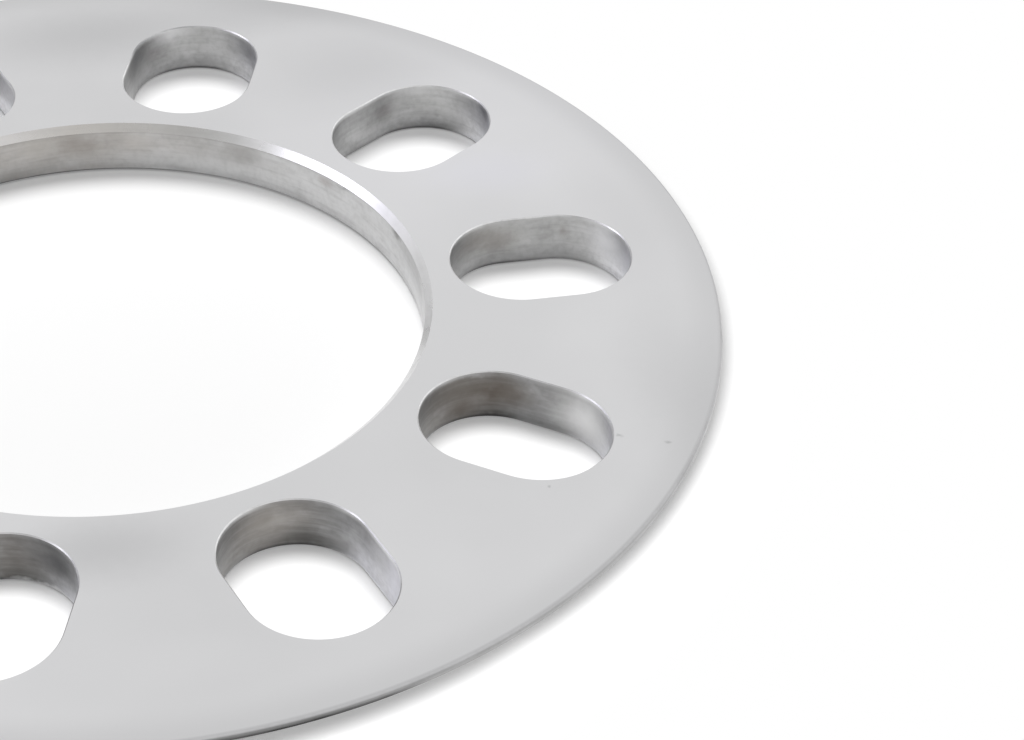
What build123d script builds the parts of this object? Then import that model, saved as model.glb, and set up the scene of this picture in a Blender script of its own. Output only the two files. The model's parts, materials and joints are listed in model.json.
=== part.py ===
from build123d import *
import os

# A flat wheel spacer: one aluminium plate that is clamped between a vehicle's hub and its wheel.
# It slides over the hub's pilot, and its ten radial slots take the studs of a whole range of
# five-stud wheels.
# Millimetres. +Z is the hub's axis, towards the wheel. The origin is the centre of the hub face,
# and the first slot lies on +X.

# The plate's thickness sets how far the wheel moves outwards.
THICKNESS = 7.6

# Stud circles that the slots reach, as diameters.
SMALLEST_STUD_CIRCLE = 114.3
STUD_CIRCLE_RANGE = 12.7

# Stud slots. Each is as wide as a stud and its shank clearance, with both mouths deburred.
SLOT_COUNT = 10
SLOT_WIDTH = 19.0
SLOT_EDGE_BREAK = 0.15

# Metal left inside and outside the slots. The hub bore and the outside diameter follow from these.
HUB_WALL = 4.45
RIM_WALL = 10.2

# Edges of the hub bore: a lead-in chamfer at the wheel face and a deburred edge at the hub face.
HUB_CHAMFER = 1.0
HUB_EDGE_BREAK = 0.3

# Edge of the rim, from the wheel face down: a rounding, a narrow upright land, and a bevel that
# runs in under the plate to the hub face.
RIM_ROUNDING = 0.3
RIM_LAND = 0.6
RIM_BEVEL_WIDTH = 6.7

LARGEST_STUD_CIRCLE = SMALLEST_STUD_CIRCLE + STUD_CIRCLE_RANGE
SLOT_CENTRE_RADIUS = (SMALLEST_STUD_CIRCLE + LARGEST_STUD_CIRCLE) / 4
SLOT_TRAVEL = STUD_CIRCLE_RANGE / 2
HUB_BORE_RADIUS = (SMALLEST_STUD_CIRCLE - SLOT_WIDTH) / 2 - HUB_WALL
OUTER_RADIUS = (LARGEST_STUD_CIRCLE + SLOT_WIDTH) / 2 + RIM_WALL


def plate_section():
    """Half of the plate's turned section: a face in the XZ plane, from the bore to the rim."""
    rounding_top = (OUTER_RADIUS - RIM_ROUNDING, THICKNESS)
    rounding_foot = (OUTER_RADIUS, THICKNESS - RIM_ROUNDING)
    with BuildSketch(Plane.XZ) as section:
        with BuildLine():
            Polyline(
                rounding_foot,
                (OUTER_RADIUS, THICKNESS - RIM_ROUNDING - RIM_LAND),
                (OUTER_RADIUS - RIM_BEVEL_WIDTH, 0),
                (HUB_BORE_RADIUS + HUB_EDGE_BREAK, 0),
                (HUB_BORE_RADIUS, HUB_EDGE_BREAK),
                (HUB_BORE_RADIUS, THICKNESS - HUB_CHAMFER),
                (HUB_BORE_RADIUS + HUB_CHAMFER, THICKNESS),
                rounding_top,
            )
            RadiusArc(rounding_top, rounding_foot, RIM_ROUNDING)
        make_face()
    return section.sketch


def turned_plate():
    """The plate before its slots, turned about the hub's axis."""
    return revolve(plate_section(), Axis.Z)


def stud_slots():
    """Cutters for the slots: each runs outwards from the smallest stud circle to the largest."""
    with BuildPart() as slots:
        with BuildSketch():
            with PolarLocations(SLOT_CENTRE_RADIUS, SLOT_COUNT):
                SlotCenterToCenter(SLOT_TRAVEL, SLOT_WIDTH)
        extrude(amount=THICKNESS)
    return slots.part


def slot_mouths(plate):
    """The edges round every slot, on the hub face and on the wheel face.

    A slot's outline has several edges, and the bore's has only one.
    """
    faces = plate.faces().filter_by(Axis.Z).sort_by(Axis.Z)
    outlines = faces[0].inner_wires() + faces[-1].inner_wires()
    return [edge for outline in outlines if len(outline.edges()) > 1 for edge in outline.edges()]


def spacer_plate():
    """The finished plate: turned, slotted, and deburred round the slots."""
    plate = turned_plate() - stud_slots()
    plate = chamfer(slot_mouths(plate), SLOT_EDGE_BREAK)
    plate.label = "spacer_plate"
    return plate


os.makedirs("parts", exist_ok=True)
export_step(spacer_plate(), "parts/spacer_plate.step")
print("bore diameter", round(2 * HUB_BORE_RADIUS, 3), "outside diameter", round(2 * OUTER_RADIUS, 3))
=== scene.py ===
"""Looks of a flat wheel spacer: one aluminium plate with a turned bore and ten milled stud slots.

Sizes are in millimetres until a mesh, a lamp or the camera is made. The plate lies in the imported
model's frame: +Z is the hub's axis, towards the wheel, the origin is the centre of the hub face,
and the first slot lies on +X. A heading is an angle in degrees round the hub's axis, from +X
towards +Y, and a wall's heading is the way that it faces.
"""

import json
import logging
import math
from collections.abc import Callable, Iterator, Sequence
from contextlib import contextmanager
from dataclasses import dataclass, field
from enum import Enum

import bmesh
import bpy
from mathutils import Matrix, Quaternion, Vector


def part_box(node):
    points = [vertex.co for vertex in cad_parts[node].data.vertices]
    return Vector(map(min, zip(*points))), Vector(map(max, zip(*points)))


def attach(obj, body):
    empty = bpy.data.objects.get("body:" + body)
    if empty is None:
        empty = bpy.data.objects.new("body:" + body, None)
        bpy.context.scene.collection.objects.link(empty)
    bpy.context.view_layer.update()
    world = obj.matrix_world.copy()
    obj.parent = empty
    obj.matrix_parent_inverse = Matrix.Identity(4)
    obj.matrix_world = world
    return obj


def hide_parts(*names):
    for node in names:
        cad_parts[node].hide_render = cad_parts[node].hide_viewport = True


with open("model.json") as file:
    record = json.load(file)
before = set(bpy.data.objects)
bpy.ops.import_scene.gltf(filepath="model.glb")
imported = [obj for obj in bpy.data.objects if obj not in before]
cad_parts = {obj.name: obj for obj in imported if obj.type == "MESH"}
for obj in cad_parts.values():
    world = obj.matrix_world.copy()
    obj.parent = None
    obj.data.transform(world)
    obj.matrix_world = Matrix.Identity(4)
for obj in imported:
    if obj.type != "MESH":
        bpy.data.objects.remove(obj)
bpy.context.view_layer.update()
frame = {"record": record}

# Short names for two kinds of thing in Blender: an object, and a node's input or output.
Piece = bpy.types.Object
Socket = bpy.types.NodeSocket

MM = 0.001
PLATE_NODE = "spacer_plate"

# The mesh attribute that keeps the way each corner of a face points.
FACING = "facing"

# Two points nearer than this are one point, and a height this near a face lies on it.
SAME_PLACE = 0.002 * MM
FULL_TURN = 2 * math.pi

# Two faces that meet at less than this angle, in degrees, are shaded as one smooth surface.
SMOOTH_ANGLE = 30

# Inputs and output of a colour Mix node, which has other sockets for other kinds of value.
MIX_FACTOR = 0
MIX_FIRST = 6
MIX_SECOND = 7
MIX_RESULT = 2

WHITE = (1.0, 1.0, 1.0, 1.0)

log = logging.getLogger("wheel_spacer")


class Part(Enum):
    """The parts of a mesh that are chosen, named as edit mode has them, with their list in a bmesh."""

    VERT = "verts"
    EDGE = "edges"


class Region(Enum):
    """The plate's surfaces. Each is a material slot, in this order."""

    WHEEL_FACE = 0
    HUB_FACE = 1
    BORE_CHAMFER = 2
    BORE_WALL = 3
    BORE_BREAK = 4
    SLOT_WALL = 5
    SLOT_BREAK = 6
    RIM_EDGE = 7
    RIM_BEVEL = 8


def linear(hex_colour: str) -> tuple[float, float, float, float]:
    """Turns an sRGB hex colour to linear light.

    Args:
        hex_colour: The colour as written, such as "#c8c8ca".

    Returns:
        Red, green, blue and an alpha of one.
    """
    levels = [int(hex_colour[start:start + 2], 16) / 255 for start in (1, 3, 5)]
    channels = [level / 12.92 if level <= 0.04045 else ((level + 0.055) / 1.055) ** 2.4 for level in levels]
    return (*channels, 1.0)


def heading_vector(heading: float) -> Vector:
    """Points along a heading in degrees, level with the faces and one unit long."""
    angle = math.radians(heading)
    return Vector((math.cos(angle), math.sin(angle), 0))


def deselect_all() -> None:
    """Leaves no object selected, because an operator acts on all that is."""
    bpy.ops.object.select_all(action="DESELECT")


@contextmanager
def editing(piece: Piece) -> Iterator[None]:
    """Keeps one piece in edit mode for as long as the block runs.

    Args:
        piece: The mesh object to edit.

    Returns:
        The context of a with statement, which gives no value.
    """
    deselect_all()
    piece.select_set(True)
    bpy.context.view_layer.objects.active = piece
    bpy.ops.object.mode_set(mode="EDIT")
    yield
    bpy.ops.object.mode_set(mode="OBJECT")


def choose(piece: Piece, part: Part, test: Callable[[object], bool]) -> None:
    """Selects the parts of a mesh in edit mode that pass a test, and no others.

    Args:
        piece: The mesh object in edit mode.
        part: Whether vertices or edges are chosen.
        test: Says whether one of them is chosen.
    """
    bpy.ops.mesh.select_mode(type=part.name)
    bpy.ops.mesh.select_all(action="DESELECT")
    mesh = bmesh.from_edit_mesh(piece.data)
    for item in getattr(mesh, part.value):
        if test(item):
            item.select_set(True)
    bmesh.update_edit_mesh(piece.data)


def at_height(item: object, height: float) -> bool:
    """Says whether all corners of an edge or a face lie at a height in mm."""
    return all(abs(corner.co.z - height * MM) < SAME_PLACE for corner in item.verts)


def weld() -> None:
    """Makes one vertex of all those in one place, in edit mode."""
    bpy.ops.mesh.select_all(action="SELECT")
    bpy.ops.mesh.remove_doubles(threshold=SAME_PLACE)


def round_corners(offset: float, segments: int) -> None:
    """Bevels the selected corners of a flat outline.

    Args:
        offset: How far from the corner each bevel starts, in mm.
        segments: How many edges take the place of the corner.
    """
    bpy.ops.mesh.bevel(
        offset=offset * MM, segments=segments, profile=0.5, affect="VERTICES", clamp_overlap=False
    )


def add_rectangle(name: str, size: tuple[float, float], centre: Vector, tilt: float = 0.0) -> Piece:
    """Adds a rectangle at its size and place, with its object at the origin.

    Args:
        name: The new object's name.
        size: Its two sides in mm, the first along X.
        centre: Its centre in mm.
        tilt: How far it is turned about X from lying flat, in radians.

    Returns:
        The rectangle, a mesh of one face.
    """
    deselect_all()
    bpy.ops.mesh.primitive_plane_add(size=1, location=centre * MM, rotation=(tilt, 0, 0))
    piece = bpy.context.object
    piece.name = name
    piece.data.name = name
    piece.scale = (size[0] * MM, size[1] * MM, 1)
    bpy.ops.object.transform_apply(location=True, rotation=True, scale=True)
    return piece


def join(pieces: list[Piece], name: str) -> Piece:
    """Joins mesh objects into one.

    Args:
        pieces: The objects, of which the first takes in the others.
        name: The joined object's name.

    Returns:
        The joined object.
    """
    deselect_all()
    for piece in pieces:
        piece.select_set(True)
    bpy.context.view_layer.objects.active = pieces[0]
    bpy.ops.object.join()
    joined = bpy.context.object
    joined.name = name
    joined.data.name = name
    return joined


@dataclass(frozen=True)
class TurnedEdges:
    """What the lathe cut: the bore and the rim, each from the wheel face down to the hub face."""

    outer_radius: float
    bore_radius: float
    thickness: float
    bore_chamfer: float = 1.0
    bore_break: float = 0.3
    rim_rounding: float = 0.3
    rim_bevel: float = 6.7
    rounding_steps: int = 10
    turning_steps: int = 360

    def on_bore(self, heading: float, height: float) -> Vector:
        """Finds the place on the bore's wall at a heading from the hub's axis, in mm."""
        return heading_vector(heading) * self.bore_radius + Vector((0, 0, height))

    def section(self) -> Piece:
        """Draws the plate's section in the XZ plane and keeps the lines of its bore and its rim.

        Returns:
            An object with two open chains of edges.
        """
        middle = Vector(((self.outer_radius + self.bore_radius) / 2, 0, self.thickness / 2))
        size = (self.outer_radius - self.bore_radius, self.thickness)
        drawn = add_rectangle("turned_edges", size, middle, tilt=math.pi / 2)
        corners = (
            (self.outer_radius, self.thickness, self.rim_rounding, self.rounding_steps),
            (self.outer_radius, 0, self.rim_bevel, 1),
            (self.bore_radius, self.thickness, self.bore_chamfer, 1),
            (self.bore_radius, 0, self.bore_break, 1),
        )
        with editing(drawn):
            for radius, height, offset, segments in corners:
                corner = Vector((radius, 0, height)) * MM
                choose(drawn, Part.VERT, lambda vertex: (vertex.co - corner).length < SAME_PLACE)
                round_corners(offset, segments)
            bpy.ops.mesh.select_all(action="SELECT")
            bpy.ops.mesh.delete(type="ONLY_FACE")
            flats = (0, self.thickness)
            choose(drawn, Part.EDGE, lambda edge: any(at_height(edge, height) for height in flats))
            bpy.ops.mesh.delete(type="EDGE")
        return drawn

    def build(self) -> Piece:
        """Turns the section about the hub's axis.

        Returns:
            The bore and the rim as two open rings.
        """
        turned = self.section()
        with editing(turned):
            bpy.ops.mesh.select_all(action="SELECT")
            bpy.ops.mesh.spin(steps=self.turning_steps, angle=FULL_TURN, center=(0, 0, 0), axis=(0, 0, 1))
            weld()
        return turned


@dataclass(frozen=True)
class StudSlots:
    """What the mill cut: obround slots that run outwards, each with both its mouths deburred."""

    centre_radius: float
    length: float
    width: float
    thickness: float
    count: int = 10
    edge_break: float = 0.15
    corner_steps: int = 24

    def on_wall(self, slot: int, facing: float, height: float) -> Vector:
        """Finds the place on a slot's round ends where the wall has a given heading.

        Args:
            slot: The slot, counted round from the one on +X.
            facing: The way that the wall faces, as a heading.
            height: The height above the hub face, in mm.

        Returns:
            The place in mm.
        """
        turn = slot * 360 / self.count
        outwards = heading_vector(facing + 180)
        end = math.copysign((self.length - self.width) / 2, outwards.dot(heading_vector(turn)))
        centre = heading_vector(turn) * (self.centre_radius + end)
        return centre + outwards * self.width / 2 + Vector((0, 0, height))

    def outline(self, growth: float, height: float) -> Piece:
        """Draws the slot's outline as a rectangle with its corners rounded until they meet.

        Args:
            growth: How far it lies outside the slot's wall, in mm.
            height: Its height above the hub face, in mm.

        Returns:
            A closed loop of edges.
        """
        size = (self.length + 2 * growth, self.width + 2 * growth)
        drawn = add_rectangle("slot_outline", size, Vector((self.centre_radius, 0, height)))
        with editing(drawn):
            bpy.ops.mesh.select_all(action="SELECT")
            round_corners(size[1] / 2, self.corner_steps)
            weld()
            bpy.ops.mesh.delete(type="ONLY_FACE")
        return drawn

    def lining(self) -> Piece:
        """Bridges four outlines into the upper mouth, the wall and the lower mouth of the first slot.

        Returns:
            The slot's surface, open at both faces of the plate.
        """
        levels = (
            (0, self.edge_break),
            (self.edge_break, 0),
            (self.thickness - self.edge_break, 0),
            (self.thickness, self.edge_break),
        )
        lined = join([self.outline(growth, height) for height, growth in levels], "stud_slots")
        with editing(lined):
            for (low, _), (high, _) in zip(levels, levels[1:]):
                choose(lined, Part.EDGE, lambda edge: at_height(edge, low) or at_height(edge, high))
                bpy.ops.mesh.bridge_edge_loops()
        return lined

    def build(self) -> Piece:
        """Copies the first slot round the hub's axis.

        Returns:
            All slots' surfaces in one object.
        """
        slots = self.lining()
        copies = self.count - 1
        turn = FULL_TURN * copies / self.count
        with editing(slots):
            bpy.ops.mesh.select_all(action="SELECT")
            bpy.ops.mesh.spin(steps=copies, angle=turn, center=(0, 0, 0), axis=(0, 0, 1), dupli=True)
        return slots


@dataclass(frozen=True)
class StainOrShading:
    """A soft-edged patch of another tone, stain or painted light. Its centre and how far it reaches each way
    are in mm.
    """

    centre: Vector
    reach: tuple[float, float, float]
    colour: str
    strength: float


def stains_and_shading_at(place: Callable[..., Vector], marks: Sequence[tuple]) -> list[StainOrShading]:
    """Makes stains and patches of painted light and shade that reach as far both ways along a wall.

    Args:
        place: Finds a stain's centre by the first values of its row.
        marks: A row for each patch, which ends with its reach along and up, its colour and strength.

    Returns:
        The patches.
    """
    return [
        StainOrShading(place(*where), (along, along, up), colour, strength)
        for *where, along, up, colour, strength in marks
    ]


@dataclass(frozen=True)
class Painter:
    """Adds the nodes of one material or of the world. Sizes go in as mm and are metres in the nodes."""

    tree: bpy.types.NodeTree

    # How many finer patterns lie on every noise.
    noise_detail: float = 3.0

    def feed(self, socket: Socket, value: object) -> None:
        """Fills a node's input.

        Args:
            socket: The input.
            value: Its value, or another node's output that is linked to it.
        """
        if isinstance(value, Socket):
            self.tree.links.new(value, socket)
        else:
            socket.default_value = value

    def add(
        self,
        kind: str,
        inputs: dict[str | int, object] | None = None,
        output: str | int = 0,
        **settings: object,
    ) -> Socket:
        """Adds a node with its settings, values and links.

        Args:
            kind: The node's class, without the ShaderNode that they all start with.
            inputs: What goes into each input: a value, or another node's output.
            output: Which of the node's outputs is wanted.
            settings: The node's own properties.

        Returns:
            The output.
        """
        made = self.tree.nodes.new(f"ShaderNode{kind}")
        for name, value in settings.items():
            setattr(made, name, value)
        for name, value in (inputs or {}).items():
            self.feed(made.inputs[name], value)
        return made.outputs[output]

    def place(self) -> Socket:
        """Finds the point's place on the plate, in metres."""
        return self.add("TexCoord", output="Object")

    def place_along(self, axis: str) -> Socket:
        """Measures the point's place along the axis X, Y or Z, in metres."""
        return self.add("SeparateXYZ", {"Vector": self.place()}, axis)

    def axis_distance(self) -> Socket:
        """Measures how far the point lies from the hub's axis, in metres."""
        flat = self.add("VectorMath", {0: self.place(), 1: (1, 1, 0)}, operation="MULTIPLY")
        return self.add("VectorMath", {0: flat}, "Value", operation="LENGTH")

    def facing(self) -> Socket:
        """Finds the way that the surface points, which the mesh keeps."""
        return self.add("Attribute", output="Vector", attribute_name=FACING)

    def noise(self, size: Sequence[float], shift: float = 0.0, output: str = "Fac") -> Socket:
        """Makes noise with blotches of a real size.

        Args:
            size: The size of one blotch along X, Y and Z, in mm.
            shift: Where the noise starts, so that two of one size differ.
            output: The noise's output, a value or a colour.

        Returns:
            The output.
        """
        scale = [1 / (side * MM) for side in size]
        scaled = self.add("Mapping", {"Vector": self.place(), "Location": [shift] * 3, "Scale": scale})
        return self.add("TexNoise", {"Vector": scaled, "Scale": 1.0, "Detail": self.noise_detail}, output)

    def mottle(
        self,
        size: Sequence[float],
        lowest: float = 0.0,
        highest: float = 1.0,
        reach: tuple[float, float] = (0.35, 0.65),
        shift: float = 0.0,
    ) -> Socket:
        """Makes an uneven pattern of a real size.

        Args:
            size: The size of one blotch or streak along X, Y and Z, in mm.
            lowest: The pattern's lowest value.
            highest: The pattern's highest value.
            reach: The noise levels that give those two. The nearer they are, the harder the blotches.
            shift: Where the pattern starts.

        Returns:
            The pattern's value.
        """
        levels = {"From Min": reach[0], "From Max": reach[1], "To Min": lowest, "To Max": highest}
        return self.add("MapRange", {"Value": self.noise(size, shift), **levels})

    def fade(self, value: Socket, start: float, end: float, strength: float = 1.0) -> Socket:
        """Rises smoothly between two distances.

        Args:
            value: A distance in metres.
            start: The distance in mm at which it is 0. It may be the larger one.
            end: The distance in mm at which it reaches the strength.
            strength: Its highest value.

        Returns:
            A value from 0 to the strength.
        """
        levels = {"Value": value, "From Min": start * MM, "From Max": end * MM, "To Max": strength}
        return self.add("MapRange", levels, interpolation_type="SMOOTHSTEP")

    def lay_over(self, under: str | Socket, layers: Sequence[tuple[Socket, str | Socket]]) -> Socket:
        """Lays colours over a surface, one after another.

        Args:
            under: The colour that they lie on.
            layers: The share of each that shows at a point, with its colour.

        Returns:
            The colour with all layers on it.
        """
        for share, over in layers:
            colours = [linear(colour) if isinstance(colour, str) else colour for colour in (under, over)]
            mixed = {MIX_FACTOR: share, MIX_FIRST: colours[0], MIX_SECOND: colours[1]}
            under = self.add("Mix", mixed, MIX_RESULT, data_type="RGBA")
        return under

    def stained_and_shaded(
        self, under: Socket, stains: Sequence[StainOrShading], bend: float = 1.5, raggedness: float = 1.6
    ) -> Socket:
        """Puts stains and patches of painted light and shade, with ragged outlines, on a colour.

        Args:
            under: The colour that they lie on.
            stains: The stains and painted patches.
            bend: The size of the bends in their outlines, in mm.
            raggedness: How far their outlines stray, in mm.

        Returns:
            The colour with its stains and painted patches.
        """
        if not stains:
            return under
        bends = self.noise([bend] * 3, output="Color")
        stray = self.add("VectorMath", {0: bends, 1: [0.5] * 3}, operation="SUBTRACT")
        strayed = {0: stray, 1: [raggedness * MM] * 3, 2: self.place()}
        ragged = self.add("VectorMath", strayed, operation="MULTIPLY_ADD")
        layers = []
        for stain in stains:
            scale = [1 / (side * MM) for side in stain.reach]
            start = [-middle * MM * shrink for middle, shrink in zip(stain.centre, scale)]
            offset = self.add("Mapping", {"Vector": ragged, "Location": start, "Scale": scale})
            distance = self.add("VectorMath", {0: offset}, "Value", operation="LENGTH")
            levels = {"Value": distance, "From Min": 1.0, "From Max": 0.0, "To Max": stain.strength}
            layers.append((self.add("MapRange", levels, interpolation_type="SMOOTHSTEP"), stain.colour))
        return self.lay_over(under, layers)

    def light_and_shade_by_heading(self, tones: dict[float, str]) -> Socket:
        """Gives a wall its colour by its heading, which paints the light and shade that it shows.

        Args:
            tones: The colour at some headings, from -180 up. The first one also holds at 180.

        Returns:
            The colour, which changes smoothly from one heading to the next.
        """
        x, y, _ = self.add("SeparateXYZ", {"Vector": self.facing()}).node.outputs
        heading = self.add("Math", {0: y, 1: x}, operation="ARCTAN2")
        turn = self.add("MapRange", {"Value": heading, "From Min": -math.pi, "From Max": math.pi})
        ramp = self.add("ValToRGB", {"Fac": turn})
        ring = [*tones.items(), (180, tones[-180])]
        stops = ramp.node.color_ramp.elements
        while len(stops) < len(ring):
            stops.new(0.5)
        for stop, (at, colour) in zip(stops, ring):
            stop.position = (at + 180) / 360
            stop.color = linear(colour)
        return ramp


@dataclass(frozen=True)
class Finish:
    """A bare metal finish. Each kind paints its own colour, gloss and fine relief."""

    name: str
    roughness: float
    # Stains, and patches that paint light and shade.
    stains: Sequence[StainOrShading] = ()

    # The deepest that the cutter's marks go, in mm, and how strongly they turn the light.
    relief_depth: float = 0.02
    relief_strength: float = 0.1

    def material(self) -> bpy.types.Material:
        """Makes the finish's material.

        Returns:
            A material with a metal shader that this finish has painted.
        """
        made = bpy.data.materials.new(self.name)
        made.use_nodes = True
        paint = Painter(made.node_tree)
        colour = paint.stained_and_shaded(self.colour(paint), self.stains)
        inputs = {"Metallic": 1.0, "Roughness": self.roughness, "Base Color": colour, **self.relief(paint)}
        shader = made.node_tree.nodes["Principled BSDF"]
        for name, value in inputs.items():
            paint.feed(shader.inputs[name], value)
        return made

    def bumps(self, paint: Painter, pattern: Socket) -> Socket:
        """Turns a pattern into shallow bumps, from 0 to 1 over the relief's depth."""
        levels = {"Strength": self.relief_strength, "Distance": self.relief_depth * MM, "Height": pattern}
        return paint.add("Bump", levels)

    def colour(self, paint: Painter) -> Socket:
        """Paints the metal's colour, before its stains and painted patches, with the material's painter."""
        raise NotImplementedError

    def relief(self, paint: Painter) -> dict[str, object]:
        """Gives the shader's inputs for the fine relief, with the material's painter."""
        raise NotImplementedError


@dataclass(frozen=True)
class FacedAluminium(Finish):
    """The lathe-faced, lightly etched flat: an even satin grey whose circular grain fans the light."""

    bright: str = "#d9d9da"
    dim: str = "#d4d4d5"
    cloud_size: float = 34.0
    # The face grows slightly darker in a band near the rim.
    rim_darkening: str = "#cdcdce"
    rim_darkening_start: float = 77.0
    rim_darkening_end: float = 83.0

    # Painted shade: a narrow line along the outer edge, faint on the far side and full on the near side, by
    # Y.
    edge: str = "#bcbcbd"
    edge_start: float = 82.45
    edge_end: float = 82.95
    edge_far: float = 8.0
    edge_near: float = -48.0

    # Grain that runs round the axis spreads the light outwards, a quarter turn from its own way.
    anisotropy: float = 0.72
    anisotropic_turn: float = 0.25

    # The real grain is a few hundredths of a millimetre, so it is drawn coarse enough to show.
    grain_size: float = 0.7
    grain_reach: tuple[float, float] = (0.3, 0.7)

    def colour(self, paint: Painter) -> Socket:
        """Paints faint clouds, a slightly darker band near the rim and its edge line of painted shade.

        Args:
            paint: The material's painter.

        Returns:
            The colour before its stains and painted patches.
        """
        clouds = paint.mottle([self.cloud_size] * 3)
        distance = paint.axis_distance()
        rim = paint.fade(distance, self.rim_darkening_start, self.rim_darkening_end)
        line = paint.fade(distance, self.edge_start, self.edge_end)
        near = paint.fade(paint.place_along("Y"), self.edge_far, self.edge_near)
        edge = paint.add("Math", {0: line, 1: near}, operation="MULTIPLY")
        return paint.lay_over(self.bright, [(clouds, self.dim), (rim, self.rim_darkening), (edge, self.edge)])

    def relief(self, paint: Painter) -> dict[str, object]:
        """Makes the circular grain.

        Args:
            paint: The material's painter.

        Returns:
            What goes into the shader's inputs, by their names.
        """
        return {
            "Normal": self.bumps(paint, paint.mottle([self.grain_size] * 3, reach=self.grain_reach)),
            "Anisotropic": self.anisotropy,
            "Anisotropic Rotation": self.anisotropic_turn,
            "Tangent": paint.add("Tangent", direction_type="RADIAL", axis="Z"),
        }


@dataclass(frozen=True)
class WallTones:
    """Painted light and shade of a wall, by its heading, near the wheel face and near the foot. They blend
    between.
    """

    top: dict[float, str]
    foot: dict[float, str] = field(default_factory=dict)
    blend_start: float = 1.0
    blend_end: float = 4.8

    def paint_light_and_shade(self, paint: Painter) -> Socket:
        """Gives a wall its painted light and shade by its heading and its height.

        Args:
            paint: The material's painter.

        Returns:
            The colour.
        """
        if not self.foot:
            return paint.light_and_shade_by_heading(self.top)
        rise = paint.fade(paint.place_along("Z"), self.blend_start, self.blend_end)
        return paint.lay_over(paint.light_and_shade_by_heading(self.foot), [(rise, paint.light_and_shade_by_heading(self.top))])


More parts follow.
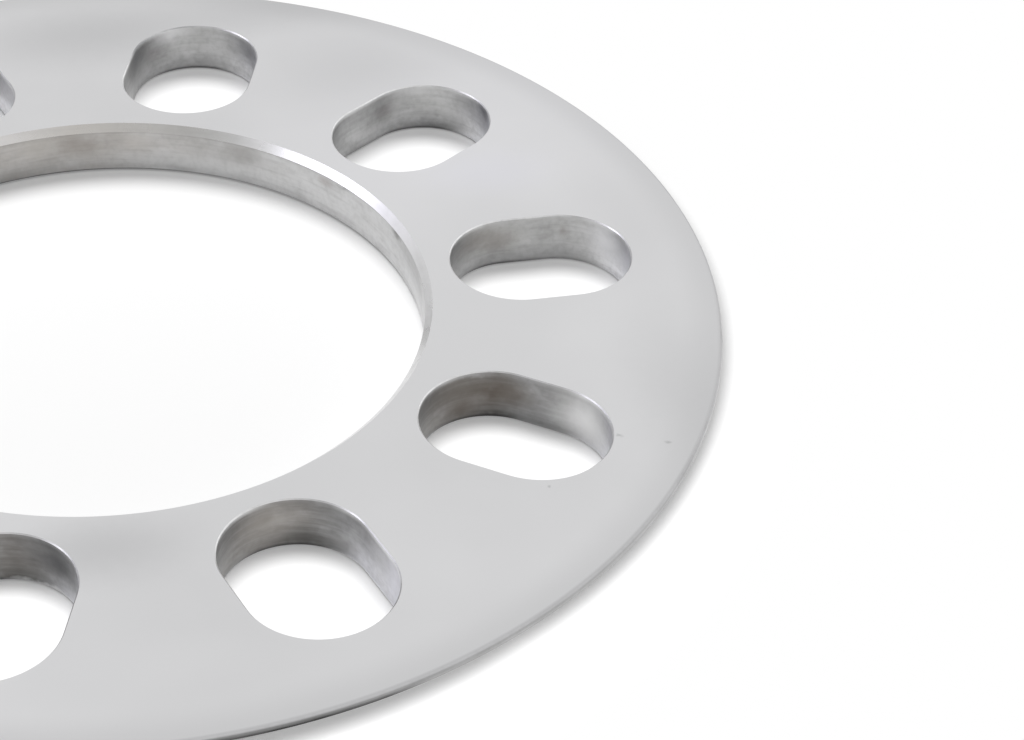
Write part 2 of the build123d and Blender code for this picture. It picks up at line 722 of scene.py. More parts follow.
@dataclass(frozen=True)
class CutWall(Finish):
    """A wall straight from the cutter: blotches, faint streaks round it, painted light and shade, and a foot
    line.
    """

    relief_strength: float = 0.2
    tones: WallTones | None = None

    # Darker tones towards -Y paint the shade on the near walls. They come in between two places on Y.
    near_shade_tones: WallTones | None = None
    near_shade_start: float = 2.0
    near_shade_end: float = -24.0

    # Painted shade on a rounding where it turns up into the wheel face, fully at this rise.
    crown_shade: str = ""
    crown_rise: float = 0.85

    # How strong the marks are, and their sizes in mm. A blotch is this much flatter than it is long.
    light_blotches: float = 0.3
    dark_blotches: float = 0.3
    speckles: float = 0.12
    streaks: float = 0.12
    blotch_size: float = 4.5
    blotch_flatness: float = 0.7
    speckle_size: float = 0.8
    streak_length: float = 7.0
    streak_height: float = 0.55
    light: str = "#cfcfd0"
    dark: str = "#5e5c5a"

    # How far the roughness of a patch strays from the wall's own.
    gloss_stray: float = 0.05

    # The noise levels between which a mark comes in. The higher they are, the fewer marks there are.
    ridged: tuple[float, float] = (0.3, 0.7)
    frequent: tuple[float, float] = (0.45, 0.65)
    scattered: tuple[float, float] = (0.5, 0.7)
    patchy: tuple[float, float] = (0.5, 0.75)

    # Thin lines along the wall: painted shade and reflection at its foot, by its heading, and one under its
    # mouth.
    foot_shading: dict[float, str] = field(default_factory=dict)
    foot_height: float = 0.7
    foot_full: float = 0.1
    foot_strength: float = 0.95
    mouth_height: float = 7.45
    mouth_depth: float = 0.75
    mouth_strength: float = 0.0
    under_mouth: str = "#ececec"

    # The mouth's line is fainter where the wall has this heading, by the cosine of the angle to it.
    faint_heading: float = -103.0
    faint_strength: float = 0.0
    faint_start: float = 0.75
    faint_full: float = 0.97

    def colour(self, paint: Painter) -> Socket:
        """Paints the wall's light and shade by its heading and height, and the cutter's marks on it.

        Args:
            paint: The material's painter.

        Returns:
            The colour before its stains.
        """
        tone = self.tones.paint_light_and_shade(paint)
        # Painted shade: the near walls, towards -Y, blend into darker tones.
        if self.near_shade_tones:
            darker = paint.fade(paint.place_along("Y"), self.near_shade_start, self.near_shade_end)
            tone = paint.lay_over(tone, [(darker, self.near_shade_tones.paint_light_and_shade(paint))])
        # Painted shade on a rounding, by how far it turns up.
        if self.crown_shade:
            rise = paint.add("SeparateXYZ", {"Vector": paint.facing()}, "Z")
            levels = {"Value": rise, "From Max": self.crown_rise}
            turned = paint.add("MapRange", levels, interpolation_type="SMOOTHSTEP")
            tone = paint.lay_over(tone, [(turned, self.crown_shade)])
        blotch = (self.blotch_size, self.blotch_size, self.blotch_size * self.blotch_flatness)
        streak = (self.streak_length, self.streak_length, self.streak_height)
        # Each kind of mark has a pattern with a start of its own.
        marks = (
            (blotch, self.light_blotches, self.patchy, 0.0, self.light),
            (blotch, self.dark_blotches, self.patchy, 7.0, self.dark),
            (streak, self.streaks, self.frequent, 3.0, self.light),
            (streak, self.streaks, self.scattered, 13.0, self.dark),
            ([self.speckle_size] * 3, self.speckles, self.frequent, 5.0, self.dark),
        )
        layers = [
            (paint.mottle(size, highest=strength, reach=reach, shift=start), colour)
            for size, strength, reach, start, colour in marks
        ]
        # The foot line is painted contact shade, and painted reflection where its tone is light.
        if self.foot_shading:
            share = paint.fade(paint.place_along("Z"), self.foot_height, self.foot_full, self.foot_strength)
            layers.append((share, paint.light_and_shade_by_heading(self.foot_shading)))
        # The line under the mouth is a painted highlight on the slots and a darker line on the bore.
        if self.mouth_strength:
            layers.append((self.mouth_share(paint), self.under_mouth))
        return paint.lay_over(tone, layers)

    def mouth_share(self, paint: Painter) -> Socket:
        """Works out how much of the line under the mouth shows, by the wall's height and heading.

        Args:
            paint: The material's painter.

        Returns:
            The share.
        """
        faintest = {0: paint.facing(), 1: heading_vector(self.faint_heading)}
        levels = {
            "Value": paint.add("VectorMath", faintest, "Value", operation="DOT_PRODUCT"),
            "From Min": self.faint_start,
            "From Max": self.faint_full,
            "To Min": self.mouth_strength,
            "To Max": self.faint_strength,
        }
        strength = paint.add("MapRange", levels, interpolation_type="SMOOTHSTEP")
        rise = paint.fade(paint.place_along("Z"), self.mouth_height - self.mouth_depth, self.mouth_height)
        return paint.add("Math", {0: rise, 1: strength}, operation="MULTIPLY")

    def relief(self, paint: Painter) -> dict[str, object]:
        """Makes the cutter's shallow ridges, and duller and brighter patches.

        Args:
            paint: The material's painter.

        Returns:
            What goes into the shader's inputs, by their names.
        """
        streak = (self.streak_length, self.streak_length, self.streak_height)
        gloss = (self.roughness - self.gloss_stray, self.roughness + self.gloss_stray)
        return {
            "Normal": self.bumps(paint, paint.mottle(streak, reach=self.ridged)),
            "Roughness": paint.mottle([self.blotch_size] * 3, *gloss, shift=11.0),
        }


@dataclass
class SpacerPlate:
    """The spacer itself, one plate: turned edges, stud slots, and the two faces between them."""

    edges: TurnedEdges
    slots: StudSlots

    @classmethod
    def from_frame(cls) -> "SpacerPlate":
        """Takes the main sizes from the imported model.

        Returns:
            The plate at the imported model's size.
        """
        low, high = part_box(PLATE_NODE)
        mounts = {mount["name"]: mount["dims"] for mount in frame["record"]["mounts"]}
        thickness = (high.z - low.z) / MM
        studs = mounts["stud_slots"]
        centre_radius, width = studs["spacing_x_mm"] / 2, studs["hole_r_mm"] * 2
        return cls(
            TurnedEdges(high.x / MM, mounts["hub_bore"]["r_mm"], thickness),
            StudSlots(centre_radius, studs["slot_length_mm"], width, thickness),
        )

    def build(self) -> Piece:
        """Joins the cut surfaces and closes the two faces between them.

        Returns:
            The plate as one closed mesh.
        """
        plate = join([self.edges.build(), self.slots.build()], "spacer_plate_body")
        with editing(plate):
            weld()
            for height in (0, self.edges.thickness):
                choose(plate, Part.EDGE, lambda edge: edge.is_boundary and at_height(edge, height))
                bpy.ops.mesh.fill(use_beauty=True)
            bpy.ops.mesh.select_all(action="SELECT")
            bpy.ops.mesh.normals_make_consistent(inside=False)
        bpy.ops.object.shade_smooth_by_angle(angle=math.radians(SMOOTH_ANGLE))
        bpy.ops.object.modifier_add(type="WEIGHTED_NORMAL")
        plate.modifiers[-1].keep_sharp = True
        bpy.ops.object.modifier_apply(modifier=plate.modifiers[-1].name)
        return plate

    def region_of(self, face: bpy.types.MeshPolygon) -> Region:
        """Names the surface that a face belongs to, by its place and the way it points.

        Args:
            face: A face of the finished plate.

        Returns:
            The surface's region.
        """
        radius = math.hypot(face.center.x, face.center.y) / MM
        rise = face.normal.z
        flat = 0.999
        upright = 0.02
        if rise > flat:
            return Region.WHEEL_FACE
        if rise < -flat:
            return Region.HUB_FACE
        if radius < self.edges.bore_radius + self.edges.bore_chamfer:
            if abs(rise) < upright:
                return Region.BORE_WALL
            return Region.BORE_CHAMFER if rise > 0 else Region.BORE_BREAK
        if radius > self.edges.outer_radius - self.edges.rim_bevel:
            return Region.RIM_EDGE if rise > -upright else Region.RIM_BEVEL
        return Region.SLOT_WALL if abs(rise) < upright else Region.SLOT_BREAK

    def dress(self, plate: Piece, finishes: dict[Region, Finish]) -> None:
        """Gives every surface its finish, and keeps which way each corner points for the walls' tones.

        Args:
            plate: The finished plate.
            finishes: The finish of each region.
        """
        for region in Region:
            plate.data.materials.append(finishes[region].material())
        for face in plate.data.polygons:
            face.material_index = self.region_of(face).value
        normals = [part for normal in plate.data.corner_normals for part in normal.vector]
        facing = plate.data.attributes.new(FACING, "FLOAT_VECTOR", "CORNER")
        facing.data.foreach_set("vector", normals)


@dataclass(frozen=True)
class PlateFinishes:
    """The finishes of one spacer, with the stains and painted light and shade that its walls and face have.
    """

    plate: SpacerPlate

    def slot_stains(self) -> list[StainOrShading]:
        """Lists the stains on the slots' walls, and the patches there that paint light and shade.

        Returns:
            The patches, slot by slot.
        """
        brown, umber, pale, lavender = "#6a635b", "#4c443e", "#dcdcdc", "#d6d6de"
        # Brown and mid-grey patches are stains; the pale and lavender ones paint light, the near-black ones
        # shade.
        # The slot, the way that its wall faces, the height, the reach along and up, colour, strength.
        marks = (
            (0, -62, 5.2, 6.0, 3.6, "#85817c", 0.6),
            (0, -86, 4.4, 5.0, 3.4, "#8e8a85", 0.55),
            (0, -104, 4.8, 1.2, 1.6, "#7c756f", 0.4),
            (0, -150, 4.8, 6.0, 4.4, "#e8e8ea", 0.7),
            (0, -176, 4.8, 3.6, 3.4, "#e4e4ea", 0.5),
            (0, -108, 0.3, 11.0, 1.0, "#bcbcbc", 0.6),
            (1, -60, 4.6, 3.0, 2.8, "#8b8786", 0.4),
            (1, -94, 6.9, 5.0, 2.0, pale, 0.35),
            (1, -168, 6.8, 3.0, 2.0, "#7c7c82", 0.8),
            (1, -108, 0.6, 6.5, 1.2, "#525252", 0.5),
            (1, -132, 1.8, 3.4, 2.0, "#8a8a8a", 0.4),
            (2, -24, 5.8, 3.0, 2.6, "#808085", 0.4),
            (2, -160, 5.6, 4.0, 2.0, "#8c8c90", 0.45),
            (2, -52, 4.4, 2.6, 2.8, "#858180", 0.4),
            (2, -72, 7.0, 4.6, 2.4, pale, 0.6),
            (9, -66, 5.0, 6.5, 3.8, brown, 0.5),
            (9, -100, 4.2, 6.5, 5.0, "#5f5851", 0.75),
            (9, -104, 4.2, 2.4, 1.4, umber, 0.4),
            (9, -76, 1.8, 3.4, 2.4, "#645c54", 0.65),
            (9, -121, 4.4, 4.2, 3.2, "#5f5851", 0.6),
            (9, -148, 3.4, 7.5, 7.0, "#dcdcdc", 0.9),
            (9, -104, 0.2, 5.0, 0.9, "#383838", 0.5),
            (9, -80, 7.3, 6.0, 0.8, "#b4b4b4", 0.5),
            (8, -78, 4.6, 7.0, 3.8, "#a49f99", 0.6),
            (8, -110, 1.4, 4.6, 2.2, "#605e5c", 0.5),
            (8, -137, 1.7, 3.4, 2.0, "#7c7a78", 0.45),
            (8, -170, 4.0, 4.0, 6.0, lavender, 0.5),
            (7, -114, 3.6, 6.5, 4.8, "#605c58", 0.5),
            (7, -144, 4.6, 7.0, 4.4, "#585859", 0.9),
            (7, -134, 7.2, 5.0, 1.3, "#5c5c5c", 0.6),
            (7, -126, 0.1, 7.0, 0.65, "#e4e4e4", 0.85),
        )
        return stains_and_shading_at(self.plate.slots.on_wall, marks)

    def mouth_dark_stretches(self) -> list[StainOrShading]:
        """Lists the darker stretches of the deburred edges.

        Returns:
            The darker stretches on the upper edge of one far slot.
        """
        slots, darker = self.plate.slots, "#909092"
        height = slots.thickness
        marks = ((2, -30, height, 8.0, 3.0, darker, 0.9), (2, -86, height, 7.0, 3.0, darker, 0.7))
        return stains_and_shading_at(slots.on_wall, marks)

    def bore_stains(self) -> list[StainOrShading]:
        """Lists the stains on the bore's wall.

        Returns:
            The stains, from the far side round.
        """
        # The heading from the hub's axis, the height, the reach along and up, colour, strength.
        marks = (
            (98, 5.0, 3.4, 3.0, "#b6b3ae", 0.5),
            (90, 4.9, 4.4, 3.0, "#8f8a85", 0.6),
            (79, 4.6, 3.6, 2.4, "#b9b5b1", 0.4),
            (57, 5.2, 4.6, 2.6, "#9a9896", 0.6),
            (37.5, 5.6, 2.2, 1.2, "#a39c9a", 0.5),
            (32, 6.4, 2.4, 0.6, "#8f8f8f", 0.5),
            (14, 6.3, 2.4, 0.9, "#6c6a68", 0.7),
            (6, 5.8, 8.0, 2.0, "#a4a4a4", 0.4),
        )
        return stains_and_shading_at(self.plate.edges.on_bore, marks)

    def face_stains_and_sheen(self) -> list[StainOrShading]:
        """Lists the soft clouds, one of them painted sheen, and the few specks on the wheel face.

        Returns:
            The clouds, then the specks.
        """
        height = self.plate.edges.thickness
        speck = (0.5, 0.5, 0.5)
        # The lavender cloud paints the sheen that the grain fans out; the other clouds are uneven tone.
        # The place on the face, the reach each way, colour, strength.
        marks = (
            ((-5.0, -50.0), (16, 9, 9), "#bebebf", 0.6),
            ((6.0, 70.0), (30, 14, 9), "#c0c0c1", 0.7),
            ((40.0, 75.0), (32, 12, 9), "#bbbbbc", 0.6),
            ((73.0, -34.0), (12, 26, 9), "#c0c0c1", 0.5),
            ((75.0, 8.0), (11, 34, 9), "#c0c0c1", 0.22),
            ((44.0, 53.0), (20, 18, 9), "#c0c0c1", 0.4),
            ((34.2, -61.2), (10, 8, 9), "#dcdcdd", 0.35),
            ((1.9, -70.0), (14, 6, 9), "#dbdbdc", 0.35),
            ((57.7, 22.0), (14, 9, 9), "#dadae2", 0.35),
            ((67.1, -42.4), speck, "#8a8a8a", 0.5),
            ((61.4, -40.2), speck, "#8f8f8f", 0.4),
            ((50.2, -48.1), speck, "#8f8f8f", 0.4),
        )
        return [
            StainOrShading(Vector((*middle, height)), reach, colour, strength)
            for middle, reach, colour, strength in marks
        ]

    def slot_wall(self) -> CutWall:
        """Makes the finish of the slots' walls: milled and handled, with light and shade painted by heading
        and height.

        Returns:
            The finish.
        """
        tones = WallTones(
            top={-180: "#c4c4ca", -154: "#c0c0c3", -130: "#bababa", -100: "#b1b1b0", -70: "#b0b0af",
                 -40: "#a3a3a3", 0: "#9e9e9e", 90: "#a8a8a8"},
            foot={-180: "#f6f6fa", -154: "#f8f8fa", -142: "#f0f0f1", -126: "#c8c8c8", -106: "#b2b2b2",
                  -82: "#b4b4b4", -56: "#c2c2c2", 0: "#bababa", 90: "#b0b0b0", 150: "#dcdce0"},
        )
        # Painted shade: darker tones for the near walls, towards -Y.
        near_shade_tones = WallTones(
            top={-180: "#c4c4ca", -154: "#a8a8aa", -130: "#929292", -106: "#7c7a78", -76: "#82807d",
                 -50: "#868482", 0: "#9a9a9a", 90: "#9a9a9a"},
            foot={-180: "#dcdce2", -154: "#d8d8dc", -142: "#c2c2c5", -126: "#8e8e8e", -106: "#72716f",
                  -82: "#918e8b", -56: "#a9a6a3", 0: "#b4b4b4", 90: "#a0a0a0", 150: "#c4c4c8"},
        )
        return CutWall(
            "milled_slot_wall",
            roughness=0.45,
            stains=self.slot_stains(),
            tones=tones,
            near_shade_tones=near_shade_tones,
            foot_shading={-180: "#f2f2f4", -144: "#eaeaec", -130: "#b8b8b8", -116: "#6a6a6a", -100: "#525252",
                       -72: "#686868", -46: "#bcbcbc", 0: "#b8b8b8", 90: "#a0a0a0", 150: "#e0e0e4"},
            # The line under the mouths is a painted highlight.
            mouth_strength=0.66,
            faint_strength=0.1,
        )

    def table(self) -> dict[Region, Finish]:
        """Gives each of the plate's surfaces its finish.

        Returns:
            The finish of each region.
        """
        wheel_face = FacedAluminium("faced_etched_aluminium", 0.42, self.face_stains_and_sheen())
        hub_face = FacedAluminium("faced_aluminium_hub_side", 0.42)
        # Turned last and hardly marked, so it is the glossiest cut; its bands by heading paint the room's
        # reflections.
        chamfer = CutWall(
            "turned_bore_chamfer",
            roughness=0.3,
            tones=WallTones(
                {-180: "#c8c8c8", -171: "#cacaca", -160: "#aeaeae", -134: "#d2d2d2", -122: "#b5b5b4",
                 -112: "#a9a8a6", -90: "#b9b6b2", -74: "#cfcdcc", 0: "#c0c0c0", 150: "#e4e4e4"}
            ),
            light_blotches=0.1, dark_blotches=0.05, speckles=0.03, streaks=0.06,
        )
        # Turned, then handled: satin with streaks round it, brown stains, a darker line under the chamfer.
        # Its tones by heading and height and its dark foot line are painted light and contact shade.
        bore = CutWall(
            "turned_bore_wall",
            roughness=0.42,
            stains=self.bore_stains(),
            tones=WallTones(
                top={-180: "#b6b6b6", -160: "#cacaca", -138: "#cccccc", -120: "#acabaa", -106: "#b8b6b4",
                     -92: "#a4a09c", -74: "#b4b1ae", 0: "#acacac", 150: "#cecece"},
                foot={-180: "#d2d2d2", -154: "#d7d7d7", -124: "#d2d2d2", -106: "#cbcbcb", -92: "#b8b6b4",
                      -74: "#aeacaa", 0: "#aaaaaa", 150: "#cecece"},
            ),
            dark_blotches=0.2, speckles=0.08,
            foot_shading={-180: "#dcdcdc", -150: "#dadada", -126: "#d2d2d2", -106: "#b8b8b8", -84: "#868686",
                       0: "#8a8a8a", 150: "#d0d0d0"},
            foot_height=0.46, foot_full=0.28,
            mouth_height=6.6, mouth_depth=0.3, mouth_strength=0.35, under_mouth="#8a8886",
            faint_strength=0.35,
        )
        # Scraped by hand: a hairline whose tones by heading paint a highlight on the near sides of the
        # slots.
        deburred = CutWall(
            "deburred_slot_mouth",
            roughness=0.38,
            stains=self.mouth_dark_stretches(),
            tones=WallTones(
                {-180: "#b8b8ba", -160: "#acacae", -146: "#c4c4c5", -132: "#bababb", -118: "#acacac",
                 -96: "#cacaca", -56: "#ececec", -20: "#fafafa", 60: "#fafafa", 130: "#d8d8d8"}
            ),
            light_blotches=0.1, dark_blotches=0.1,
        )
        # The bore's lower edge, scraped likewise; its dark tones by heading are painted contact shade.
        bore_break = CutWall(
            "deburred_bore_foot",
            roughness=0.4,
            tones=WallTones({-180: "#b8b8b8", -130: "#6c6c6c", -90: "#484848", 0: "#808080", 90: "#a0a0a0"}),
            light_blotches=0.1, dark_blotches=0.1,
        )
        # Turned and fine: a soft grey rounding, and a land whose painted shade is nearly black on the
        # nearest side.
        rim = CutWall(
            "turned_rim_edge",
            roughness=0.4,
            tones=WallTones(
                top={-180: "#c4c4c4", -130: "#b0b0b0", -96: "#7e7e7e", -80: "#7c7c7c", -71: "#909090",
                     -63: "#a4a4a4", -46: "#a2a2a2", -34: "#aaaaaa", -20: "#c0c0c1", 10: "#cccccc"},
                foot={-180: "#c0c0c0", -130: "#a8a8a8", -96: "#363636", -77: "#363636", -73: "#525252",
                      -69: "#a2a2a2", -62: "#a8a8a8", -34: "#aeaeae", 10: "#c8c8c8"},
                blend_start=6.8,
                blend_end=7.35,
            ),
            crown_shade="#bcbcbd",
            light_blotches=0.1, dark_blotches=0.06, speckles=0.06,
        )
        # Turned satin without stains, as the photograph doesn't show it.
        bevel = CutWall(
            "turned_rim_bevel",
            roughness=0.4,
            tones=WallTones({-180: "#adadad", -90: "#a2a2a2", 0: "#adadad", 90: "#b0b0b0"}),
            light_blotches=0.15, dark_blotches=0.15,
        )
        return {
            Region.WHEEL_FACE: wheel_face,
            Region.HUB_FACE: hub_face,
            Region.BORE_CHAMFER: chamfer,
            Region.BORE_WALL: bore,
            Region.BORE_BREAK: bore_break,
            Region.SLOT_WALL: self.slot_wall(),
            Region.SLOT_BREAK: deburred,
            Region.RIM_EDGE: rim,
            Region.RIM_BEVEL: bevel,
        }


@dataclass(frozen=True)
class PhotoCamera:
    """The photograph's viewpoint, fitted to the plate's edges. Places in mm, angles in degrees."""

    eye: tuple[float, float, float] = (-14.135, -283.091, 214.588)
    aim: tuple[float, float, float] = (53.191, -14.928, -0.018)
    roll: float = 2.545
    lens: float = 90.68
    sensor: float = 36.0
    nearest: float = 10.0
    farthest: float = 20000.0

    def build(self) -> None:
        """Adds the camera and makes it the scene's own."""
        data = bpy.data.cameras.new("photo_camera")
        data.lens = self.lens
        data.sensor_width = self.sensor
        data.clip_start = self.nearest * MM
        data.clip_end = self.farthest * MM
        camera = bpy.data.objects.new("photo_camera", data)
        bpy.context.scene.collection.objects.link(camera)
        camera.location = Vector(self.eye) * MM
        look = (Vector(self.aim) - Vector(self.eye)).to_track_quat("-Z", "Y")
        camera.rotation_mode = "QUATERNION"
        camera.rotation_quaternion = look @ Quaternion((0, 0, 1), math.radians(self.roll))
        bpy.context.scene.camera = camera


@dataclass(frozen=True)
class Softbox:
    """A soft studio lamp, rectangular or round. Lengths in mm, angles in degrees."""

    name: str
    heading: float
    elevation: float
    distance: float
    size: tuple[float, float]
    radiance: float
    colour: str = "#ffffff"
    target: Sequence[float] = (0.0, 0.0, 0.0)
    round: bool = False

    def build(self, lit: Sequence[Piece], in_metal: bool) -> None:
        """Adds the lamp.

        Args:
            lit: The only objects that its light falls on.
            in_metal: Whether the metal shows the lamp's own reflection.
        """
        data = bpy.data.lights.new(self.name, "AREA")
        data.shape = "ELLIPSE" if self.round else "RECTANGLE"
        data.size = self.size[0] * MM
        data.size_y = self.size[1] * MM
        area = data.size * data.size_y * (math.pi / 4 if self.round else 1)
        data.energy = self.radiance * math.pi * area
        data.color = linear(self.colour)[:3]
        lamp = bpy.data.objects.new(self.name, data)
        bpy.context.scene.collection.objects.link(lamp)
        rise = math.radians(self.elevation)
        way = heading_vector(self.heading) * math.cos(rise) + Vector((0, 0, math.sin(rise)))
        lamp.location = (Vector(self.target) + way * self.distance) * MM
        lamp.rotation_mode = "QUATERNION"
        lamp.rotation_quaternion = (-way).to_track_quat("-Z", "Y")
        lamp.visible_camera = False
        lamp.visible_glossy = in_metal
        receivers = bpy.data.collections.new(f"{self.name}_lights")
        for piece in lit:
            receivers.objects.link(piece)
        lamp.light_linking.receiver_collection = receivers


@dataclass(frozen=True)
class Shadow:
    """An edge's shadow on the floor: its lamp's heading, its width and its soft part, in mm."""

    heading: float
    reach: float
    softness: float

    # The share of its paleness that is left along the line where the plate touches the floor.
    contact_paleness: float = 0.45

    # How brightly the lamp lights the open floor, where 1 is white, and how far away it is.
    level: float = 1.2
    distance: float = 900.0

    def lamp(self, name: str, edge_height: float, target: Sequence[float]) -> Softbox:
        """Works out the round lamp that gives this shadow.

        Args:
            name: The lamp's name.
            edge_height: The edge's height above the floor, in mm.
            target: The place that the lamp points at, in mm.

        Returns:
            The lamp.
        """
        rise = math.atan(edge_height / self.reach)
        width = 2 * self.softness * math.sin(rise) ** 2 / edge_height * self.distance
        spread = math.pi / 4 * (width / self.distance) ** 2
        radiance = self.level * math.pi / (spread * math.sin(rise))
        place = (self.heading, math.degrees(rise), self.distance)
        return Softbox(name, *place, (width, width), radiance, target=target, round=True)


@dataclass(frozen=True)
class FloorSection:
    """A part of the paper floor just below the plate, between two radii in mm and two headings.

    Each has a lamp of its own, whose height and size set how wide and how soft the shadow of the
    plate's edge is. The lamp points at the target.
    """

    name: str
    inner_radius: float
    outer_radius: float
    shadow: Shadow
    edge_height: float
    target: Sequence[float] = (0.0, 0.0, 0.0)
    first_heading: float = 0.0
    last_heading: float = 360.0
    drop: float = 0.05
    steps: int = 120

    def lamp(self) -> Softbox:
        """Works out the section's own lamp."""
        return self.shadow.lamp(f"{self.name}_softbox", self.edge_height, self.target)

    def holds(self, corner: object) -> bool:
        """Says whether a corner lies between the section's headings, or less than half a step outside.

        Args:
            corner: A vertex of the floor.

        Returns:
            Whether the section keeps it.
        """
        step = 360 / self.steps
        past = (math.degrees(math.atan2(corner.co.y, corner.co.x)) - self.first_heading + step / 2) % 360
        return past < self.last_heading - self.first_heading + step

    def build(self) -> Piece:
        """Adds the section as a disc or as part of a ring.

        Returns:
            The section, a floor object.
        """
        whole = self.inner_radius == 0
        deselect_all()
        bpy.ops.mesh.primitive_circle_add(
            vertices=self.steps,
            radius=(self.outer_radius if whole else self.inner_radius) * MM,
            fill_type="NGON" if whole else "NOTHING",
            location=(0, 0, -self.drop * MM),
        )
        floor = bpy.context.object
        floor.name = f"floor_{self.name}"
        floor.data.name = floor.name
        bpy.ops.object.transform_apply(location=True, rotation=True, scale=True)
        if not whole:
            spread = self.outer_radius / self.inner_radius
            with editing(floor):
                choose(floor, Part.VERT, lambda corner: not self.holds(corner))
                bpy.ops.mesh.delete(type="VERT")
                bpy.ops.mesh.select_all(action="SELECT")
                bpy.ops.mesh.extrude_edges_move()
                bpy.ops.transform.resize(value=(spread, spread, 1), center_override=(0, 0, 0))
                bpy.ops.mesh.select_all(action="SELECT")
                bpy.ops.mesh.normals_make_consistent(inside=False)
        return floor


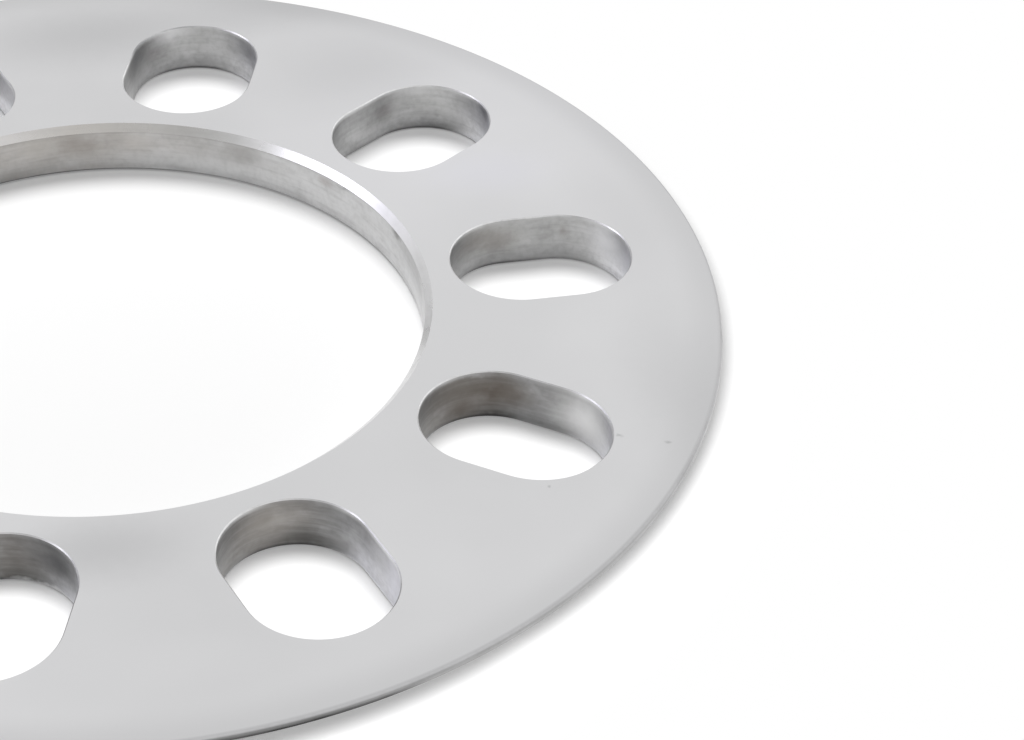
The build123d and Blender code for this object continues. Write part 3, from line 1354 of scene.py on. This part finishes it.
@dataclass(frozen=True)
class Studio:
    """The pale paper floor, the even light from all round, and the softboxes.

    The floor's sections meet under the plate, which hides their seams. So the bore and each slot
    have the shadow of one lamp. The ring round the plate is in two halves, and they meet where
    their two shadows are equal.
    """

    spacer: SpacerPlate
    bore_seam: float = 45.4
    outer_seam: float = 75.0
    turn_seam: float = -57.0
    floor_radius: float = 3000.0
    world_strength: float = 0.06
    key: Softbox = Softbox("key_softbox", 163, 35, 800, (480, 310), 3.2, "#f2f0ff")
    bore_shadow: Shadow = Shadow(92, 3.5, 2.6, 0.6)
    right_shadow: Shadow = Shadow(-108.5, 7.1, 2.1)
    front_shadow: Shadow = Shadow(-75, 4.7, 1.9)

    # This share of the paper's light is a glow, which keeps its shadows pale. Away from the plate,
    # between two radii, the share rises to all of it.
    paper: str = "#f3f3f3"
    glow: float = 0.315
    clear_start: float = 87.0
    clear_end: float = 94.0

    # The darker line where the plate touches the floor: its width, how finely it is sampled, and
    # the open shares of the space above a point at which it is darkest and at which it ends.
    contact_width: float = 0.45
    contact_samples: int = 8
    contact_closed: float = 0.25
    contact_open: float = 0.85

    def slot_shadows(self) -> dict[tuple[int, int], Shadow]:
        """Lists the slots' shadows, which are wider on the far side.

        Returns:
            The shadow of each run of slots, by the run's first and last slot.
        """
        return {
            (0, 0): Shadow(76, 3.35, 2.3),
            (1, 1): Shadow(71, 4.0, 2.6, 0.3),
            (2, 5): Shadow(76, 4.45, 2.9, 0.3),
            (6, 7): Shadow(82, 2.0, 1.75),
            (8, 8): Shadow(86, 2.4, 1.9, 0.6),
            (9, 9): Shadow(83, 2.6, 2.0, 0.6),
        }

    def sections(self) -> list[FloorSection]:
        """Lists the floor's sections.

        Returns:
            The bore's disc, the slots' sections and the ring round the plate.
        """
        edges, slots = self.spacer.edges, self.spacer.slots
        bore_edge = edges.thickness - edges.bore_chamfer
        far_wall = edges.on_bore(self.bore_shadow.heading, 0)
        ring = (self.outer_seam, self.floor_radius)
        rim_edge = edges.thickness - edges.rim_rounding
        centre = (0.0, 0.0, 0.0)
        turn = self.turn_seam
        made = [
            FloorSection("bore", 0, self.bore_seam, self.bore_shadow, bore_edge, far_wall),
            FloorSection("right", *ring, self.right_shadow, rim_edge, centre, turn, turn + 180),
            FloorSection("front", *ring, self.front_shadow, rim_edge, centre, turn + 180, turn + 360),
        ]
        seams = (self.bore_seam, self.outer_seam)
        step = 360 / slots.count
        for (first, last), shadow in self.slot_shadows().items():
            middle = heading_vector((first + last) / 2 * step) * slots.centre_radius
            ends = ((first - 0.5) * step, (last + 0.5) * step)
            made.append(FloorSection(f"slot_{first}", *seams, shadow, slots.thickness, middle, *ends))
        return made

    def backdrop_rays(self, paint: Painter) -> Socket:
        """Picks out the rays that show the white background: the camera's, and those that metal sends on.

        Args:
            paint: The floor's or the world's painter.

        Returns:
            One on such a ray, and otherwise zero.
        """
        rays = paint.add("LightPath").node.outputs
        seen = paint.add("Math", {0: rays["Is Camera Ray"], 1: rays["Is Glossy Ray"]}, operation="MAXIMUM")
        return paint.add("Math", {0: seen, 1: rays["Is Transmission Ray"]}, operation="MAXIMUM")

    def paper_material(self, section: FloorSection) -> bpy.types.Material:
        """Makes a section's paper: its shadows are pale near the plate and clear to white away from it.

        Args:
            section: The section of the floor.

        Returns:
            The section's material.
        """
        made = bpy.data.materials.new(f"matt_white_paper_of_floor_{section.name}")
        made.use_nodes = True
        nodes = made.node_tree.nodes
        nodes.remove(nodes["Principled BSDF"])
        paint = Painter(made.node_tree)
        clear = paint.fade(paint.axis_distance(), self.clear_start, self.clear_end)
        pale = paint.add("MapRange", {"Value": clear, "To Min": self.glow})
        width = {"Distance": self.contact_width * MM}
        levels = {
            "Value": paint.add("AmbientOcclusion", width, "AO", samples=self.contact_samples),
            "From Min": self.contact_closed,
            "From Max": self.contact_open,
            "To Min": section.shadow.contact_paleness,
        }
        glowing = paint.add("Math", {0: paint.add("MapRange", levels), 1: pale}, operation="MULTIPLY")
        share = paint.add("Math", {0: self.backdrop_rays(paint), 1: glowing}, operation="MULTIPLY")
        paper = paint.add("BsdfDiffuse", {"Color": linear(self.paper)})
        glow = paint.add("Emission", {"Color": WHITE, "Strength": 1.0})
        mixed = paint.add("MixShader", {0: share, 1: paper, 2: glow})
        paint.feed(nodes["Material Output"].inputs["Surface"], mixed)
        return made

    def build_world(self) -> None:
        """Lights the scene faintly from all round, in front of a white background."""
        world = bpy.data.worlds.new("studio")
        bpy.context.scene.world = world
        world.use_nodes = True
        nodes = world.node_tree.nodes
        paint = Painter(world.node_tree)
        light = nodes["Background"]
        paint.feed(light.inputs["Color"], WHITE)
        paint.feed(light.inputs["Strength"], self.world_strength)
        white = paint.add("Background", {"Color": WHITE, "Strength": 1.0})
        mixed = paint.add("MixShader", {0: self.backdrop_rays(paint), 1: light.outputs[0], 2: white})
        paint.feed(nodes["World Output"].inputs["Surface"], mixed)

    def build(self, plate: Piece) -> None:
        """Sets up the floor, the world and the lamps.

        Args:
            plate: The spacer, which the key lamp lights.
        """
        for section in self.sections():
            floor = section.build()
            floor.data.materials.append(self.paper_material(section))
            section.lamp().build([floor], in_metal=False)
        self.build_world()
        self.key.build([plate], in_metal=True)
        bpy.context.scene.view_settings.view_transform = "Standard"


def main() -> None:
    """Builds the plate, dresses it and sets up the studio."""
    logging.basicConfig(level=logging.INFO, format="%(name)s: %(message)s")
    spacer = SpacerPlate.from_frame()
    plate = spacer.build()
    spacer.dress(plate, PlateFinishes(spacer).table())
    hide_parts(PLATE_NODE)
    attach(plate, "root")
    log.info("%s has %d faces", plate.name, len(plate.data.polygons))
    Studio(spacer).build(plate)
    PhotoCamera().build()
    log.info("the studio and the camera are ready")


if __name__ == "__main__":
    main()
